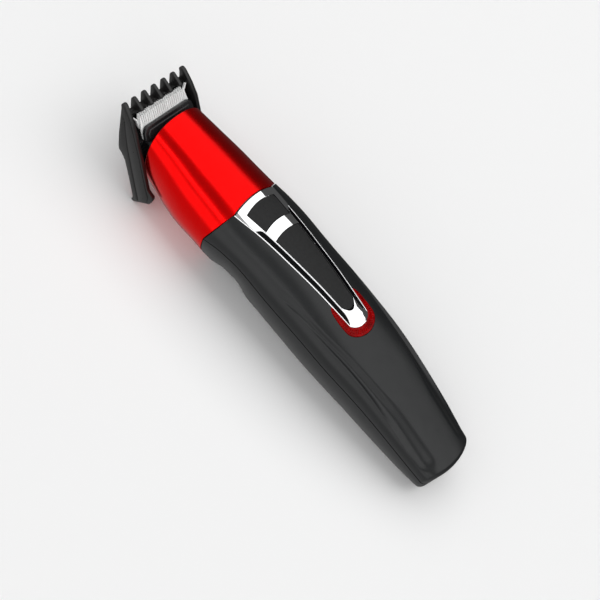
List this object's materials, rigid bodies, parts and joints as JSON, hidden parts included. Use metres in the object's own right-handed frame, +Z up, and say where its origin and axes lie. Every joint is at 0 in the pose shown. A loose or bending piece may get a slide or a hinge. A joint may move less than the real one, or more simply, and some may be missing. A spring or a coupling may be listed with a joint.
{
  "type": "hair clipper",
  "caption": "Cordless hair clipper with a pitched two-shell handle, lacquered head cover, push switch in a plated trim, toothed blades driven by a motor, and a guide comb.",
  "frame": {"origin": "middle of the bottom of the bounding box, on the surface that the clipper lies on", "axes": "+X from the tail towards the comb, +Y across the handle, +Z up, out of the switch side; the handle slopes 7.8 degrees up towards the head"},
  "size_m": [0.1754, 0.0388, 0.0345],
  "materials": {
    "soft_black": "soft-touch satin black",
    "pad_rubber": "matt black pad",
    "red_metallic": "red candy lacquer over metallised plastic",
    "chrome_trim": "bright chrome plate",
    "gloss_black": "gloss black",
    "satin_black": "satin black",
    "comb_black": "satin black moulding",
    "red_lens": "translucent red plastic",
    "board_green": "green solder mask",
    "white_plastic": "natural white plastic",
    "component_blue": "blue sleeve",
    "battery_sleeve": "green shrink sleeve",
    "steel": "plain steel",
    "blade_steel": "ground steel",
    "brass": "brass",
    "red_wire": "red insulation",
    "black_wire": "black insulation"
  },
  "bodies": {
    "housing": {"front_shell": "soft_black", "rear_shell": "soft_black", "housing_screw_1": "steel", "housing_screw_2": "steel", "housing_screw_3": "steel", "housing_screw_4": "steel", "head_cover": "red_metallic", "switch_trim": "chrome_trim", "trim_backing": "gloss_black", "grip_inlay": "pad_rubber", "indicator_lens": "red_lens", "circuit_board": "board_green", "push_switch": "gloss_black", "status_led": "red_lens", "charge_controller": "gloss_black", "capacitor": "component_blue", "battery_cell": "battery_sleeve", "battery_contact_tail": "steel", "battery_contact_head": "steel", "battery_cradle": "satin_black", "charging_socket": "satin_black", "socket_pin_left": "steel", "socket_pin_right": "steel", "motor_can": "steel", "motor_end_cap": "white_plastic", "motor_terminal_left": "brass", "motor_terminal_right": "brass", "motor_bracket_front": "satin_black", "motor_bracket_back": "satin_black", "blade_chassis": "satin_black", "fixed_blade": "blade_steel", "blade_screw_left": "steel", "blade_screw_right": "steel", "blade_spring": "steel", "motor_lead_left": "red_wire", "motor_lead_right": "black_wire", "charge_lead_left": "red_wire", "charge_lead_right": "black_wire"},
    "power_button": {"power_button": "pad_rubber", "switch_plunger": "white_plastic"},
    "rotor": {"motor_shaft": "steel", "eccentric_cam": "white_plastic"},
    "cutter": {"moving_blade": "blade_steel", "blade_carrier": "gloss_black"},
    "comb": {"guide_comb": "comb_black"}
  },
  "joints": [
    {"name": "button_press", "type": "slide", "parent": "housing", "child": "power_button", "axis": [0.1357, 0, -0.9907], "range_m": [0, 0.0008], "stiffness_N_per_m": 1500, "springref_m": -0.0005},
    {"name": "rotor_spin", "type": "hinge", "parent": "housing", "child": "rotor", "pos_m": [0.0584, 0, 0.02042], "axis": [0.9907, 0, 0.1357], "continuous": true},
    {"name": "cutter_slide", "type": "slide", "parent": "housing", "child": "cutter", "axis": [0, 1, 0], "range_m": [-0.0008, 0.0008]},
    {"name": "comb_off", "type": "slide", "parent": "housing", "child": "comb", "axis": [0.7169, 0, -0.6972], "range_m": [0, 0.035]}
  ]
}
